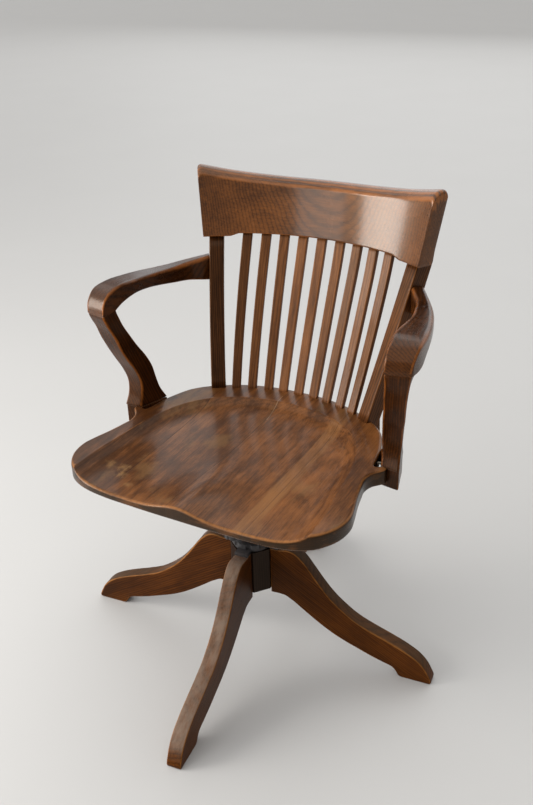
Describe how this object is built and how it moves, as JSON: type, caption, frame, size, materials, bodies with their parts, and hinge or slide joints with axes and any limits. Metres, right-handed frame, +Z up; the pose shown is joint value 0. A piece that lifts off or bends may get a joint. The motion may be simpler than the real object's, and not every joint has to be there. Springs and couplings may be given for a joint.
{
  "type": "swivel office chair",
  "caption": "Wooden swivel office armchair: saddled seat, slatted back under a curved crest rail, bent arms, legs round a column, screw height and sprung tilt.",
  "frame": {"origin": "on the floor, on the swivel axis", "axes": "+Z up, the chair faces -Y, +X is the sitter's left"},
  "size_m": [0.7302, 0.7302, 0.878],
  "materials": {
    "leg_wood": "dark stained hardwood, worn satin varnish",
    "hub_wood": "near-black stained hardwood",
    "seat_wood": "dark stained hardwood, worn varnish",
    "slat_wood": "reddish brown stained hardwood, satin",
    "post_wood": "dark brown stained hardwood, satin",
    "rail_wood": "dark brown figured hardwood, glossy varnish",
    "arm_wood": "dark brown hardwood, glossy varnish",
    "dowel_wood": "bare beech",
    "cast_iron": "old black iron",
    "steel": "oiled, darkened steel",
    "spring_steel": "dark spring steel",
    "screw_steel": "aged steel"
  },
  "bodies": {
    "base": {"hub": "hub_wood", "hub_bush": "cast_iron", "bush_screws": "screw_steel", "spindle_key": "steel", "leg_dowels": "dowel_wood", "leg_left": "leg_wood", "leg_rear": "leg_wood", "leg_right": "leg_wood", "leg_front": "leg_wood"},
    "nut": {"height_nut": "cast_iron"},
    "lift": {"spindle": "steel", "thrust_washer": "steel", "spindle_top_nut": "steel"},
    "head": {"swivel_head": "cast_iron", "pivot_pin": "steel", "pivot_collars": "steel"},
    "seat": {"seat_board_right": "seat_wood", "seat_board_mid_right": "seat_wood", "seat_board_mid_left": "seat_wood", "seat_board_left": "seat_wood", "back_post_left": "post_wood", "back_post_right": "post_wood", "slat_1": "slat_wood", "slat_2": "slat_wood", "slat_3": "slat_wood", "slat_4": "slat_wood", "slat_5": "slat_wood", "slat_6": "slat_wood", "slat_7": "slat_wood", "slat_8": "slat_wood", "slat_9": "slat_wood", "crest_rail": "rail_wood", "arm_rest_left": "arm_wood", "arm_rest_right": "arm_wood", "arm_upright_left": "arm_wood", "arm_upright_right": "arm_wood", "arm_dowels": "dowel_wood", "arm_to_post_dowels": "dowel_wood", "arm_screws": "screw_steel", "post_screws": "screw_steel", "rail_screws": "screw_steel", "seat_iron": "cast_iron", "seat_iron_screws": "screw_steel", "rod_pin": "steel"},
    "rod": {"tension_rod": "steel"},
    "cup": {"spring_cup": "steel", "tilt_spring": "spring_steel"},
    "knob": {"tension_knob": "cast_iron"}
  },
  "joints": [
    {"name": "nut_turn", "type": "hinge", "parent": "base", "child": "nut", "pos_m": [0, 0, 0.246], "axis": [0, 0, 1], "range_deg": [-3001, 1441]},
    {"name": "height", "type": "slide", "parent": "base", "child": "lift", "axis": [0, 0, 1], "range_m": [-0.024, 0.05]},
    {"name": "swivel", "type": "hinge", "parent": "lift", "child": "head", "pos_m": [0, 0, 0.3], "axis": [0, 0, 1], "continuous": true},
    {"name": "tilt", "type": "hinge", "parent": "head", "child": "seat", "pos_m": [0, 0, 0.382], "axis": [-1, 0, 0], "range_deg": [0, 12], "stiffness_Nm_per_rad": 60, "springref_deg": -20.05, "deforming": ["tilt_spring"]},
    {"name": "rod_pivot", "type": "hinge", "parent": "seat", "child": "rod", "pos_m": [0, -0.07, 0.37464], "axis": [-1, 0, 0], "range_deg": [-12, 0]},
    {"name": "tension_travel", "type": "slide", "parent": "rod", "child": "cup", "axis": [0, 0, 1], "range_m": [0, 0.006], "deforming": ["tilt_spring"]},
    {"name": "tension_turn", "type": "hinge", "parent": "cup", "child": "knob", "pos_m": [0, -0.07, 0.298], "axis": [0, 0, 1], "range_deg": [0, 1081]}
  ],
  "couplings": [
    {"joint": "nut_turn", "follows": "height", "rad_per_m": -1047.2},
    {"joint": "rod_pivot", "follows": "tilt", "ratio": -1},
    {"joint": "tension_turn", "follows": "tension_travel", "rad_per_m": 3141.6}
  ]
}
